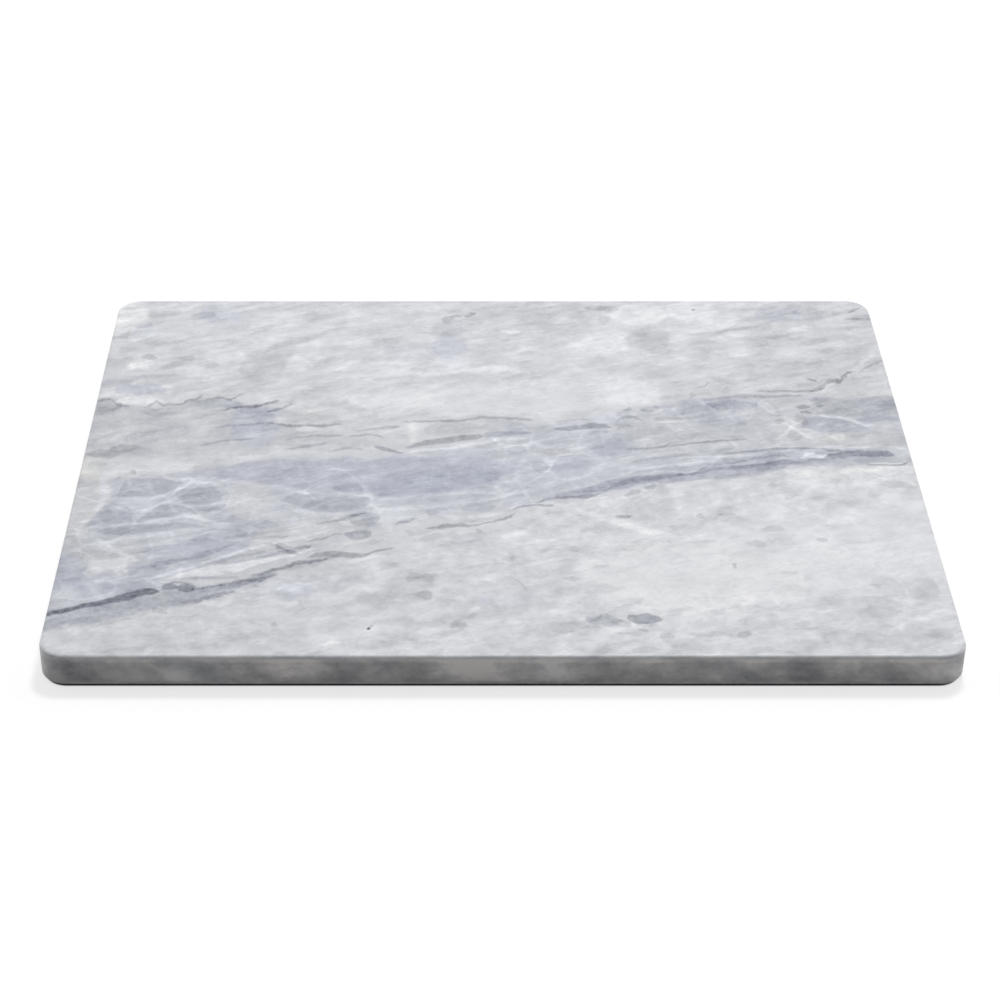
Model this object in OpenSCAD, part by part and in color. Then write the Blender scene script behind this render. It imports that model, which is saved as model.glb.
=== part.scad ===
// Marble pastry board: one honed stone slab with rounded corners and eased
// edges, carried on four round rubber feet that are stuck to its underside
// with foam adhesive discs.
// All sizes are millimetres. The origin is on the counter under the middle of
// the board, +X runs along the long side, +Y to the back and +Z up.

/* [Slab] */
// Length of the long side
slab_length = 508; // [300:1:610]
// Length of the short side
slab_width = 406.4; // [200:0.1:460]
// Thickness of the stone
slab_thickness = 19; // [12:0.5:30]
// Radius of the four corners, seen from above
corner_radius = 15; // [6:0.5:40]
// Radius that the upper edge is eased to
top_ease = 2; // [0.5:0.1:4]
// Radius that the lower edge is eased to
bottom_ease = 1; // [0.3:0.1:3]

/* [Feet] */
// Diameter of a foot at its top, where it is stuck on
foot_diameter = 16; // [10:0.5:24]
// Height of the rubber alone
foot_height = 2; // [1.6:0.1:6]
// Draft of the foot's side, in degrees from upright
foot_draft = 12; // [0:1:20]
// Radius of the rim that meets the counter
foot_rim_radius = 0.9; // [0.3:0.1:1.5]
// Diameter of the shallow dimple in the foot's sole
dimple_diameter = 6; // [2:0.5:7]
// Depth of the dimple
dimple_depth = 0.4; // [0.1:0.1:1]
// Distance from the slab's side to the middle of a foot
foot_inset = 32; // [20:1:60]

/* [Adhesive] */
// Thickness of the foam adhesive disc
adhesive_thickness = 0.5; // [0.2:0.1:1]
// How far the disc stays inside the edge of the foot
adhesive_setback = 0.6; // [0.2:0.1:1.5]

/* [Hidden] */

$fn = 96;

// Heights above the counter
foot_top = foot_height;
slab_bottom = foot_top + adhesive_thickness;

// The slab's straight stretches, between the rounded corners
straight_length = slab_length - 2 * corner_radius;
straight_width = slab_width - 2 * corner_radius;

// Where the feet stand, from the board's middle
foot_x = slab_length / 2 - foot_inset;
foot_y = slab_width / 2 - foot_inset;

// The foot's side runs down from its top edge and meets the rim's circle at a
// tangent, so the rim's centre follows from the draft
foot_radius = foot_diameter / 2;
rim_tangent_x = foot_rim_radius * cos(foot_draft);
rim_tangent_z = foot_rim_radius * (1 - sin(foot_draft));
rim_centre = foot_radius - (foot_height - rim_tangent_z) * tan(foot_draft) - rim_tangent_x;

// The dimple is the cap of a ball that is this wide across at the sole
dimple_radius = dimple_diameter / 2;
dimple_ball = (dimple_radius * dimple_radius + dimple_depth * dimple_depth) / (2 * dimple_depth);

// Section through one edge of the slab. The material runs from x = 0 out to
// x = reach, with the upper and lower edges eased by true arcs.
module edge_section(reach) {
    translate([0, bottom_ease])
        square([reach, slab_thickness - top_ease - bottom_ease]);
    square([reach - bottom_ease, slab_thickness / 2]);
    translate([0, slab_thickness / 2])
        square([reach - top_ease, slab_thickness / 2]);
    translate([reach - top_ease, slab_thickness - top_ease])
        circle(r = top_ease);
    translate([reach - bottom_ease, bottom_ease])
        circle(r = bottom_ease);
}

// Full section of a bar of the slab, eased at both of its sides
module bar_section(width) {
    edge_section(width / 2);
    mirror([1, 0])
        edge_section(width / 2);
}

// Bar of stone along Y with the section in X and Z
module bar(width, length) {
    translate([0, length / 2, 0])
        rotate([90, 0, 0])
            linear_extrude(height = length)
                bar_section(width);
}

// Quarter turn of the edge section: one rounded corner
module corner() {
    rotate_extrude(angle = 90)
        edge_section(corner_radius);
}

// The stone is two crossing bars with a turned corner in each notch
module marble_slab() {
    color([0.84, 0.85, 0.87])
        translate([0, 0, slab_bottom])
            union() {
                bar(slab_length, straight_width);
                rotate([0, 0, 90])
                    bar(slab_width, straight_length);
                for (turn = [0 : 3])
                    rotate([0, 0, 90 * turn])
                        translate(turn % 2 == 0
                            ? [straight_length / 2, straight_width / 2, 0]
                            : [straight_width / 2, straight_length / 2, 0])
                            corner();
            }
}

// Half section of a foot, from its axis out. On a thin foot the rim's circle is
// taller than the foot, so the section ends at the foot's top.
module foot_section() {
    intersection() {
        union() {
            polygon([
                [0, 0],
                [rim_centre, 0],
                [rim_centre + rim_tangent_x, rim_tangent_z],
                [foot_radius, foot_height],
                [0, foot_height],
            ]);
            translate([rim_centre, foot_rim_radius])
                circle(r = foot_rim_radius);
        }
        square([foot_diameter, foot_height]);
    }
}

// Moulded rubber foot. Its sole has a shallow dimple, which leaves a flat ring
// to grip the counter.
module foot(side_x, side_y) {
    color([0.20, 0.20, 0.21])
        translate([side_x * foot_x, side_y * foot_y, 0])
            difference() {
                rotate_extrude()
                    foot_section();
                translate([0, 0, dimple_depth - dimple_ball])
                    sphere(r = dimple_ball);
            }
}

// Foam disc, sticky on both faces, between a foot and the stone
module adhesive(side_x, side_y) {
    color([0.93, 0.93, 0.90])
        translate([side_x * foot_x, side_y * foot_y, foot_top])
            cylinder(r = foot_radius - adhesive_setback, h = adhesive_thickness);
}

marble_slab();
foot(-1, -1);  // foot_front_left
foot(1, -1);  // foot_front_right
foot(-1, 1);  // foot_back_left
foot(1, 1);  // foot_back_right
adhesive(-1, -1);  // adhesive_front_left
adhesive(1, -1);  // adhesive_front_right
adhesive(-1, 1);  // adhesive_back_left
adhesive(1, 1);  // adhesive_back_right
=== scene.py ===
import math

import bmesh
import bpy
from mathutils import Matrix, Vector


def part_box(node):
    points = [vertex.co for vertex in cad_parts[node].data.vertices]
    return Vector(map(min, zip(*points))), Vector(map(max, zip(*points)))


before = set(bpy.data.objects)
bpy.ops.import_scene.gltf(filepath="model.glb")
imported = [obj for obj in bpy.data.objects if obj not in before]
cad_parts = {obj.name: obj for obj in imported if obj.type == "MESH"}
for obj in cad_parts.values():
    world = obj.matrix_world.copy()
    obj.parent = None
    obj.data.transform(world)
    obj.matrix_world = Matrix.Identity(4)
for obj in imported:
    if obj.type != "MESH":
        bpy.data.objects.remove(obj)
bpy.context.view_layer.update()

# Marble slab
# One slab of grey and white marble, sawn from the block, with its corners ground round, its edges
# eased by hand and its faces honed to a low sheen. A blue-grey band with dark veins crosses it from
# the front left to the right. It runs through the stone, so the sides and the underside show it too.
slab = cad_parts["marble_slab"]
slab_low, slab_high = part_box("marble_slab")
MILLIMETRES = 1000
half_length = slab_high.x * MILLIMETRES
half_width = slab_high.y * MILLIMETRES
face_height = slab_high.z * MILLIMETRES
corner_radius = 15
SCREEN_WHITE = 255


def put(tree, kind, feeds=None, **settings):
    """Adds a node to a finish and feeds its sockets with numbers or with other sockets."""
    node = tree.nodes.new("ShaderNode" + kind)
    for setting, value in settings.items():
        setattr(node, setting, value)
    for socket, feed in (feeds or {}).items():
        if isinstance(feed, bpy.types.NodeSocket):
            tree.links.new(feed, node.inputs[socket])
        else:
            node.inputs[socket].default_value = feed
    return node


def new_finish(name):
    """An empty finish, with the place of each point of the piece in millimetres."""
    finish = bpy.data.materials.new(name)
    finish.use_nodes = True
    tree = finish.node_tree
    tree.nodes.clear()
    place = put(tree, "TexCoord").outputs["Object"]
    place = put(tree, "VectorMath", {0: place, 3: MILLIMETRES}, operation="SCALE").outputs[0]
    return finish, tree, place


def shade(red, green, blue):
    """A colour as a screen shows it, from 0 to 255, as the shader wants it. This is the sRGB rule."""
    shown = [level / SCREEN_WHITE for level in (red, green, blue)]
    return [((level + 0.055) / 1.055) ** 2.4 for level in shown] + [1]


marble, stone, place = new_finish("honed_marble")


def reckon(operation, *feeds, tree=stone):
    """One step of a sum, with numbers or sockets."""
    return put(tree, "Math", dict(enumerate(feeds)), operation=operation).outputs[0]


def clamped(level):
    """A level cut off below 0 and above 1."""
    return put(stone, "Clamp", {"Value": level}).outputs[0]


def between(low, high, level):
    """A level from 0 to 1 made to run from low to high."""
    return reckon("MULTIPLY_ADD", level, high - low, low)


def centred(level):
    """A level from 0 to 1 made to run from -0.5 to 0.5."""
    return reckon("SUBTRACT", level, 0.5)


def noise(where, size, detail=2, rough=0.5, colour=False, tree=stone):
    """Cloudy noise whose lumps are about size millimetres across."""
    feeds = {"Vector": where, "Scale": 1 / size, "Detail": detail, "Roughness": rough}
    return put(tree, "TexNoise", feeds).outputs["Color" if colour else "Fac"]


def drawn_out(where, times, turn):
    """Coordinates for noise drawn out into streaks, so many times as long as wide, and turned."""
    feeds = {"Vector": where, "Rotation": (0, 0, math.radians(turn)), "Scale": (times, 1, 1)}
    return put(stone, "Mapping", feeds, vector_type="TEXTURE").outputs[0]


def stirred(where, size, reach, detail=1):
    """Coordinates shifted about by up to reach millimetres, so that nothing in the stone is ruled."""
    noise_stray = 0.25
    spread = reach / noise_stray
    push = noise(where, size, detail, colour=True)
    push = put(stone, "VectorMath", {0: push, 1: (0.5, 0.5, 0.5)}, operation="SUBTRACT").outputs[0]
    feeds = {0: push, 1: (spread, spread, spread), 2: where}
    return put(stone, "VectorMath", feeds, operation="MULTIPLY_ADD").outputs[0]


# The beds of the stone lean, so a vein lies further left and forward the deeper it is in the slab.
bed_lean_x = 0.3
bed_lean_y = 0.8
xyz = put(stone, "SeparateXYZ", {0: place}).outputs
depth = reckon("SUBTRACT", xyz["Z"], face_height)
bed_x = reckon("MULTIPLY_ADD", depth, bed_lean_x, xyz["X"])
bed_y = reckon("MULTIPLY_ADD", depth, bed_lean_y, xyz["Y"])
bed = put(stone, "CombineXYZ", {0: bed_x, 1: bed_y, 2: depth}).outputs[0]
bent = stirred(bed, size=26, reach=1.2)
fine = stirred(bent, size=5, reach=0.8, detail=4)
torn = stirred(bent, size=4.5, reach=1.3, detail=4)
cloudy = stirred(bent, size=9, reach=2.4, detail=3)

# How far a point lies to the right and to the back, in tens of millimetres, which curve nodes read
# best. The coordinates that are stirred the most give a thing in the stone its ragged outline.
CURVE_UNIT = 10
to_the_right = (1 / CURVE_UNIT, 0, 0)
to_the_back = (0, 1 / CURVE_UNIT, 0)
axes = {}
for how, where in (("smooth", fine), ("ragged", torn), ("cloudy", cloudy)):
    sides = [put(stone, "VectorMath", {0: where, 1: side}, operation="DOT_PRODUCT")
             for side in (to_the_right, to_the_back)]
    axes[how] = [side.outputs["Value"] for side in sides]

# How light the stone is, from 0 to 1 as it is seen, and how blue. Each thing in the stone adds to
# these two or takes away from them.
seen = {}


def add_to(what, amount, strength):
    """Adds the amount to what is seen where the strength is 1, and a share of it elsewhere."""
    seen[what] = reckon("MULTIPLY_ADD", strength, amount, seen[what])


def drawn(along, points):
    """A smooth line through points, read at the place along it. It goes on level past its ends."""
    node = put(stone, "FloatCurve", {"Value": along})
    curve = node.mapping.curves[0]
    heights = [height for _, height in points]
    headroom = 1
    node.mapping.clip_min_x = points[0][0]
    node.mapping.clip_max_x = points[-1][0]
    node.mapping.clip_min_y = min(heights) - headroom
    node.mapping.clip_max_y = max(heights) + headroom
    node.mapping.extend = "HORIZONTAL"
    # A new curve comes with two knots.
    for point in points[2:]:
        curve.points.new(*point)
    for knot, point in zip(curve.points, points):
        knot.location = point
        knot.handle_type = "AUTO_CLAMPED"
    node.mapping.update()
    return node.outputs[0]


def strength_of(across, middle, half, fade):
    """1 near the middle, half as strong at the half width, and 0 beyond the fade."""
    off = reckon("ABSOLUTE", reckon("SUBTRACT", across, middle))
    inside = reckon("DIVIDE", reckon("SUBTRACT", half, off), fade)
    return clamped(reckon("ADD", inside, 0.5))


# Everything that lies in the stone, from left to right or, if it is steep, from front to back.
things = []


def vein(points, soft, light, blue=0, steep=False, how="smooth"):
    """A vein or bed through points of (x, y, half width), or of (x, y) where it tapers to nothing.
    Its edge fades over soft millimetres, and light below 0 makes it dark."""
    points = [(*point, 0)[:3] for point in points]
    if steep:
        points = sorted((y, x, half) for x, y, half in points)
    least_margin = 2
    margin = max(least_margin, soft / 2)
    things.append({"points": points, "soft": soft, "light": light, "blue": blue,
                   "steep": steep, "how": how, "margin": margin})


def seam(points, soft, light, blue=0, steep=False):
    """A vein with a jagged outline."""
    vein(points, soft, light, blue, steep, how="ragged")


def patch(x, y, long, wide, light, turn=0, blue=0, firm=1.8):
    """A patch, long by wide millimetres from its middle to its edge, turned by degrees. The firmer
    it is, the clearer its edge."""
    turn = math.radians(turn)
    reach = math.hypot(long * math.cos(turn), wide * math.sin(turn))
    slope = (long ** 2 - wide ** 2) * math.sin(turn) * math.cos(turn) / reach ** 2
    half = long * wide / reach
    points = []
    for share in (-1, -0.92, -0.7, -0.4, 0, 0.4, 0.7, 0.92, 1):
        off = share * reach
        points.append((x + off, y + slope * off, half * math.sqrt(1 - share ** 2)))
    vein(points, half / firm, light, blue, how="cloudy")


def rows_of(everything):
    """Sorts the things into rows, so that those of a row lie one after another and share nodes."""
    gap = 2
    rows = []
    for thing in sorted(everything, key=lambda thing: thing["points"][0][0]):
        for row in rows:
            last = row[-1]
            alike = (last["steep"], last["how"]) == (thing["steep"], thing["how"])
            end = last["points"][-1][0] + last["margin"]
            if alike and end + gap <= thing["points"][0][0] - thing["margin"]:
                row.append(thing)
                break
        else:
            rows.append([thing])
    return rows


def tens(points):
    """Points in millimetres as a curve node reads them."""
    return [[number / CURVE_UNIT for number in point] for point in points]


def lay(row):
    """Puts a row of things into the stone. Between two that taper off the half width is below 0."""
    along, across = axes[row[0]["how"]]
    if row[0]["steep"]:
        along, across = across, along
    lines = {"middle": [], "half": [], "soft": [], "light": [], "blue": []}
    for thing in row:
        margin = thing["margin"] / CURVE_UNIT
        points = tens(thing["points"])
        first = points[0]
        last = points[-1]
        start = first[0] - margin
        end = last[0] + margin
        before = first[2] or -margin
        after = last[2] or -margin
        lines["middle"] += [(start, first[1])] + [point[:2] for point in points] + [(end, last[1])]
        lines["half"] += [(start, before)] + [(way, half) for way, _, half in points] + [(end, after)]
        lines["soft"] += [(start, thing["soft"] / CURVE_UNIT), (end, thing["soft"] / CURVE_UNIT)]
        lines["light"] += [(start, thing["light"]), (end, thing["light"])]
        lines["blue"] += [(start, thing["blue"]), (end, thing["blue"])]
    line = {name: drawn(along, points) for name, points in lines.items()}
    strength = strength_of(across, line["middle"], line["half"], line["soft"])
    strength = reckon("MULTIPLY", strength, grain)
    add_to("light", line["light"], strength)
    if any(thing["blue"] for thing in row):
        add_to("blue", line["blue"], strength)


# Grains that make the things in the stone stronger and weaker from point to point.
grain = between(0.2, 1.8, noise(bent, size=3.2, detail=3, rough=0.65))

# The ground of the stone: pale and grey clouds. Behind the band they are drawn out into streaks,
# and in front of it they are crumbs. Two fields of the stone are calmer than the rest.
seen["light"] = 0.815
seen["blue"] = between(-0.05, 0.25, noise(bent, size=45))
cloud_strength = 0.2
seen["mottle"] = reckon("MULTIPLY", centred(noise(bent, size=22, detail=4, rough=0.62)), cloud_strength)
along, across = axes["smooth"]
outer_half = 160 / CURVE_UNIT
behind_middle = drawn(along, tens([(-262, 155), (-130, 180), (262, 215)]))
behind_band = strength_of(across, behind_middle, outer_half, fade=30 / CURVE_UNIT)
streaks = noise(drawn_out(bent, times=3.4, turn=20), size=9, detail=4, rough=0.6)
add_to("mottle", 0.24, reckon("MULTIPLY", centred(streaks), behind_band))
before_middle = drawn(along, tens([(-262, -325), (-130, -285), (-60, -258), (0, -225), (60, -202),
                                   (130, -180), (200, -165), (262, -165)]))
before_band = strength_of(across, before_middle, outer_half, fade=10 / CURVE_UNIT)
crumbs = noise(drawn_out(bent, times=1.5, turn=15), size=10, detail=4, rough=0.62)
add_to("mottle", 0.26, reckon("MULTIPLY", centred(crumbs), before_band))
add_to("light", 0.012, before_band)
calm_front = strength_of(across, drawn(along, tens([(30, -140), (130, -115), (262, -85)])),
                         drawn(along, tens([(20, -15), (70, 18), (140, 34), (262, 42)])),
                         fade=20 / CURVE_UNIT)
calm_back = strength_of(across, drawn(along, tens([(-80, 70), (110, 74)])),
                        drawn(along, tens([(-110, -10), (-50, 14), (60, 16), (130, -10)])),
                        fade=16 / CURVE_UNIT)
lively = between(1, 0.5, reckon("ADD", calm_front, calm_back))
add_to("light", 1, reckon("MULTIPLY", seen["mottle"], lively))

# Pale and grey patches behind the band, from the left corner to the right one.
patch(-145, 158, 36, 22, 0.022, firm=1.2)
patch(28, 178, 38, 22, -0.028, firm=1.2)
patch(-76, 108, 32, 20, 0.02, firm=1.2)
patch(8, 114, 18, 12, 0.015, firm=1.2)
patch(88, 139, 14, 10, 0.02, firm=1.2)
patch(224, 128, 62, 84, -0.04, turn=10, firm=1.2)
patch(126, 98, 30, 38, -0.02, firm=1.2)
patch(-250, 180, 18, 25, 0.075, blue=-0.1, firm=1.3)
patch(-222, 184, 12, 7, -0.05, turn=25)
patch(-195, 181, 7, 6, -0.05, blue=0.1)
patch(-182, 182, 17, 16, -0.01, blue=0.45)
patch(-232, 160, 10, 9, 0.015, blue=0.45)
patch(-236, 168, 8, 3, -0.06)
patch(-249, 151.5, 7, 2.6, -0.09)
patch(-243, 157, 8, 3, -0.06, turn=30)
patch(-242, 135, 7, 4, -0.05, blue=0.3)
patch(-226, 125.5, 5.5, 4.5, -0.09)
patch(-224, 144, 8, 3, -0.04)
patch(-246, 120, 10, 11, -0.035)
patch(-231, 114, 10, 7, 0.05)
patch(-187, 115, 7, 4, -0.06)
patch(-199, 106, 9, 7, 0.035)
patch(-172, 120, 10, 14, 0.03)
patch(-151, 112, 15, 19, -0.045)
patch(-128, 115, 9, 8, 0.045)
patch(-233, 90, 3, 2.5, 0.05)
patch(-226, 69, 14, 6, 0.06)
vein([(-222, 106), (-214, 111, 3), (-207, 116, 4), (-198, 120, 2.4), (-190, 122)], 3, -0.06)
vein([(-214, 136), (-204, 139, 4), (-194, 143, 3), (-183, 146, 2), (-174, 147)], 3, -0.045)
vein([(-152, 130), (-146, 138, 4), (-137, 143, 3.6), (-129, 148, 3.4), (-121, 152, 3.4), (-113, 158, 2.4),
      (-107, 162)], 3, -0.055)
vein([(-262, 90, 4), (-246, 94, 3.4), (-230, 98, 3), (-214, 101, 2), (-204, 102)], 3, -0.06, 0.4)
patch(-228, 83.5, 17, 7, -0.075, blue=0.5, firm=2.2)
patch(-62, 70, 32, 14, 0.05)
patch(-50, 112, 26, 14, 0.03, firm=1.3)
patch(-29, 137, 12, 17, -0.04, blue=0.5)
patch(-29, 164, 11, 13, -0.03, blue=0.2)
patch(-55, 133, 18, 14, -0.02, blue=0.3)
patch(-30, 113, 14, 8, 0.03, blue=0.2)
patch(-15, 182, 5, 2.6, -0.16, turn=10, firm=2.2)
patch(-25, 180, 5, 2, -0.1, turn=15)
patch(-31, 176, 4, 5, -0.1)
patch(-27, 187, 5, 3, -0.04)
vein([(-26, 108), (-12, 109, 3), (4, 109, 4), (14, 106, 3), (22, 104)], 3, 0.045)
patch(11, 158.5, 7, 3, 0.07)
patch(20.5, 80.5, 10, 4, 0.04)
patch(28, 136, 12, 3.6, 0.04)
patch(45, 175, 9, 6, 0.035)
patch(32, 188, 38, 11, -0.03)
patch(74, 191.5, 12, 4, -0.085)
patch(72, 144, 25, 13, 0.055, turn=20, firm=1.4)
patch(97, 182, 19, 15, 0.06, firm=1.5)
patch(134, 186, 18, 14, 0.055, firm=1.5)
# Painted shade: a dark dot for a small pit, which the surface has no hole for.
patch(135, 189.5, 1.8, 2.6, -0.2, firm=2)
patch(82, 76, 22, 15, 0.04, firm=1.2)
patch(102, 148, 15, 15, -0.055, firm=2.2)
patch(74, 176, 4, 6, -0.06, blue=0.2)
vein([(126, 160), (136, 161, 3.4), (147, 163, 4), (157, 168, 3), (163, 171)], 2.4, 0.055)
vein([(128, 155), (140, 155.5, 2), (149, 157, 2.4), (157, 162, 2.4), (170, 165, 2), (178, 166)], 2.4, -0.05)
patch(163, 156.5, 10, 4, 0.05, turn=10)
vein([(128, 141), (138, 144, 2), (154, 147, 3), (168, 149, 3), (182, 150.5, 2), (196, 152)], 2.6, -0.05)
patch(142, 137, 14, 8, -0.035)
patch(163, 129, 9, 6, 0.045)
patch(192, 139, 14, 9, 0.035)
vein([(206, 138), (214, 139, 3), (224, 142, 4), (234, 146, 3), (240, 149)], 2.6, 0.055)
vein([(212, 131), (224, 132, 4), (238, 136, 4), (252, 143, 3), (262, 148, 2)], 3, -0.045)
patch(198, 126, 18, 6, 0.03, turn=10)
patch(203, 115, 22, 6, -0.03, turn=8)
patch(192, 183, 16, 12, -0.055, blue=0.35)
patch(212, 185, 10, 9, -0.055, blue=0.1)
patch(202, 180, 7, 3, 0.05)
patch(228, 173, 16, 7, 0.04, turn=20)
vein([(238, 183), (242, 186, 1.4), (246, 189, 0.8), (250, 192)], 1.2, -0.13)
vein([(236, 176), (243, 176.5, 1.2), (249, 176, 2), (262, 175, 2)], 1.4, -0.12)

# The darker grey bed at the left, under jagged black seams where the stone once dissolved.
seam([(-262, 32, 33), (-240, 32, 30), (-225, 31, 30), (-205, 33, 32), (-188, 36, 34), (-176, 37, 34),
      (-164, 36, 34), (-158, 32, 28), (-146, 30, 28), (-138, 28, 20), (-132, 25, 14), (-110, 22, 14),
      (-95, 20, 9), (-72, 18)], 4, -0.055, 0.1)
patch(-152, 36, 15, 24, -0.02, turn=10, blue=0.45)
patch(-246, 62, 9, 11, -0.08, blue=0.1)
patch(-242, 5, 10, 5, -0.07)
patch(-229, 11, 9, 4, -0.07, turn=15)
patch(-220, 27, 12, 3, -0.05, turn=25)
patch(-234, 37, 13, 3, -0.035)
seam([(-252, 70, 1.6), (-246, 72, 1), (-241, 64, 1.6), (-236, 61.5, 1.8), (-231, 62)], 1.8, -0.13)
seam([(-224, 60.5), (-219, 62.5, 1.2), (-215, 67, 1.8), (-212, 64, 1.2), (-204, 65, 1), (-199, 66, 1.2),
      (-196, 69.5, 1.2), (-191, 70.5, 1.6), (-187, 75)], 1.8, -0.15)
seam([(-185, 70), (-181, 71, 1), (-176, 72.5, 1.2), (-170, 70.5, 1.4), (-166, 72.5, 1.2), (-161, 78)],
     1.9, -0.17)
seam([(-174, 56.5), (-171, 58, 1.4), (-165, 60, 1.3), (-158, 61, 1.3), (-151, 62, 1.7), (-147, 65, 1.5),
      (-142, 67.5, 1.2), (-137, 69.5)], 2, -0.19, 0.1)
seam([(-145, 55.5), (-142, 57.5, 1.6), (-138, 59, 1.6), (-134, 62.5, 1.2), (-128, 66.5)], 2, -0.18)
seam([(-142, 42.5), (-136, 41.5, 0.9), (-131, 38.5, 1.4), (-125, 37.5, 1.5), (-119, 39.5, 1.1),
      (-115, 38, 1.6), (-109, 37.5, 1.5), (-105, 39.5, 1.2), (-97, 40)], 1.8, -0.17)
vein([(-198, 66), (-184, 66, 4), (-168, 64, 5), (-156, 58, 6), (-146, 56, 6), (-132, 54, 4), (-122, 52)],
     4, -0.065, 0.3)
vein([(-177, 34.5), (-170, 36.5, 1.2), (-163, 38, 1.2), (-155, 39.5, 1.5), (-147, 41.5, 1.4), (-140, 42)],
     1.8, -0.09, 0.45)
vein([(-184, 14.5), (-178, 16.5, 1.4), (-172, 18.5, 1.2), (-164, 20.5, 1), (-157, 21.5, 0.8), (-148, 23)],
     1.3, -0.11, 0.2)
vein([(-130, 22), (-122, 25, 1), (-112, 26, 1), (-102, 27, 1.3), (-95, 27)], 1.5, -0.1)
vein([(-92, 26.5), (-87, 27, 1), (-80, 28, 1.1), (-75, 26.5, 1.1), (-70, 24)], 1.3, -0.11)
vein([(-88, 33), (-80, 34, 0.8), (-72, 35, 1.4), (-65, 36, 1.7), (-59, 36.5)], 1.4, -0.12)
vein([(-129, 10.5), (-122, 13, 1.2), (-114, 15, 1.7), (-107, 17, 1.1), (-102, 19)], 1.6, -0.1)
vein([(-105, 7), (-98, 9.5, 1.3), (-90, 11, 1.5), (-82, 11)], 1.7, -0.09)
vein([(-77, 15), (-73, 13.5, 2), (-68, 11, 2.4), (-62, 8, 2), (-57, 6)], 1.6, -0.15, 0.4)
patch(-104, 67, 9, 5, -0.05, turn=15)
patch(-91, 60, 8, 3, -0.04)
patch(-117, 34.5, 8, 2.4, 0.06)
patch(-116, 46, 18, 8, -0.035, firm=1.3)
patch(-120, 52, 13, 8, 0.015, turn=10, blue=-0.1)
patch(-150, 12, 54, 9, 0.025, turn=3, firm=1.3)

# The blue-grey band, with streaks that flow along it.
band_middle = [(-262, -92), (-220, -88), (-180, -74), (-140, -60), (-100, -48), (-60, -33),
               (-20, -22), (20, -8), (60, 4), (100, 18), (140, 28), (180, 34), (262, 36)]
band_half = [(-262, 68), (-220, 66), (-180, 60), (-140, 58), (-100, 50), (-60, 40), (-20, 40),
             (20, 46), (60, 46), (180, 46), (215, 40), (262, 36)]
band = strength_of(across, drawn(along, tens(band_middle)), drawn(along, tens(band_half)),
                   fade=8 / CURVE_UNIT)
add_to("light", -0.06, band)
add_to("blue", 0.42, band)
flow = noise(drawn_out(bent, times=6, turn=15), size=6, detail=4, rough=0.62)
add_to("light", 0.2, reckon("MULTIPLY", centred(flow), band))

# The calm blue field in the middle of the band, and the darker grains in it.
vein([(-200, -18.5), (-190, -18, 2), (-176, -15.5, 5.5), (-160, -15, 10), (-145, -16, 13), (-125, -18, 17),
      (-105, -18, 18), (-85, -19, 20), (-60, -21, 22), (-35, -19, 21), (-15, -15, 17), (0, -12, 11),
      (12, -10, 5), (20, -8)], 4, -0.045, 0.35)
patch(-38, -27, 42, 15, -0.02, turn=12, blue=0.3)
vein([(-131, -48), (-122, -46, 6), (-113, -48, 9), (-104, -50, 10), (-95, -50, 10), (-86, -50, 8),
      (-79, -48.5, 5.5), (-76, -48)], 2.2, -0.075, 0.1)
patch(-90, -34, 9, 5.5, -0.05, blue=0.1)
vein([(-228, -43), (-224, -34.5, 8.5), (-214, -33.5, 10), (-204, -32, 9), (-196, -30.5, 5), (-190, -28)],
     2.6, -0.075, 0.1)
patch(-179, -41.5, 14, 10.5, -0.075, turn=-8, blue=0.15, firm=3)
vein([(-184, -56.5), (-178, -56.5, 2), (-170, -56, 3.6), (-164, -54.5, 2.6), (-161, -53)], 1.6, -0.07, 0.2)
vein([(-214, -71), (-206, -64, 5.5), (-198, -59, 7), (-190, -59, 5.5), (-184, -59.5, 3.4), (-178, -61)],
     1.8, -0.085, 0.15)
vein([(-243, -73), (-237, -66, 8), (-231, -61.5, 11.5), (-225, -62, 11.5), (-220, -64, 9), (-215, -68, 5),
      (-211, -71)], 2.4, -0.06, 0.2)
vein([(-236, -80), (-226, -80, 4), (-215, -79, 5.4), (-204, -78, 4), (-192, -75.5, 3.6), (-182, -75, 2.6),
      (-172, -77)], 1.8, -0.08, 0.1)
vein([(-182, -89), (-172, -87, 3), (-165, -85, 4.6), (-158, -84, 5.4), (-152, -83, 4), (-146, -83)],
     2.4, -0.08, 0.15, how="cloudy")
patch(-151, -83, 4, 6, -0.05)
patch(-222, -16, 2.2, 2, -0.1)
patch(-229, -22.5, 2.6, 2, -0.1)
patch(-244, -9, 5, 4, -0.04)
vein([(-208, -103), (-196, -100, 4), (-185, -98, 6), (-172, -96, 7), (-160, -96, 6), (-150, -95, 4),
      (-140, -92)], 3, -0.055, 0.35)
vein([(-208, -118.5), (-201, -116.5, 2.2), (-194, -114, 2.8), (-187, -111.5, 2.2), (-180, -108.5)],
     2, -0.1, 0.3)
vein([(-183, -109.5), (-176, -106.5, 2.6), (-169, -103, 3), (-163, -99.5, 2.2), (-156, -95)],
     2.2, -0.09, 0.3)
patch(-204, -123, 12, 6, -0.05, turn=15, blue=0.2)
vein([(-251, -106), (-243, -105.5, 4), (-235, -105, 5), (-226, -106, 4.4), (-218, -107.5)],
     1.8, -0.07, -0.2)
patch(-250, -122, 14, 17, -0.055, blue=0.3)
patch(-228, -134, 16, 7, -0.03, turn=12, blue=0.3)
patch(-212, -138, 16, 5, -0.04, turn=15, blue=0.2)
patch(-152, -70, 7, 8, -0.04, blue=0.1)
patch(-252, -50, 14, 52, 0.01, blue=-0.45)
patch(-226, -110, 22, 14, 0.02, turn=25, blue=-0.25, firm=1.3)
patch(-149, -46, 13, 22, 0.015, blue=-0.3)
patch(-228, -40, 22, 14, 0.015, firm=1.2)
patch(-112, -82, 36, 12, 0.03, turn=20, blue=-0.4)
patch(-163, -68, 9, 4.5, -0.03, blue=0.1)

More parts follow.
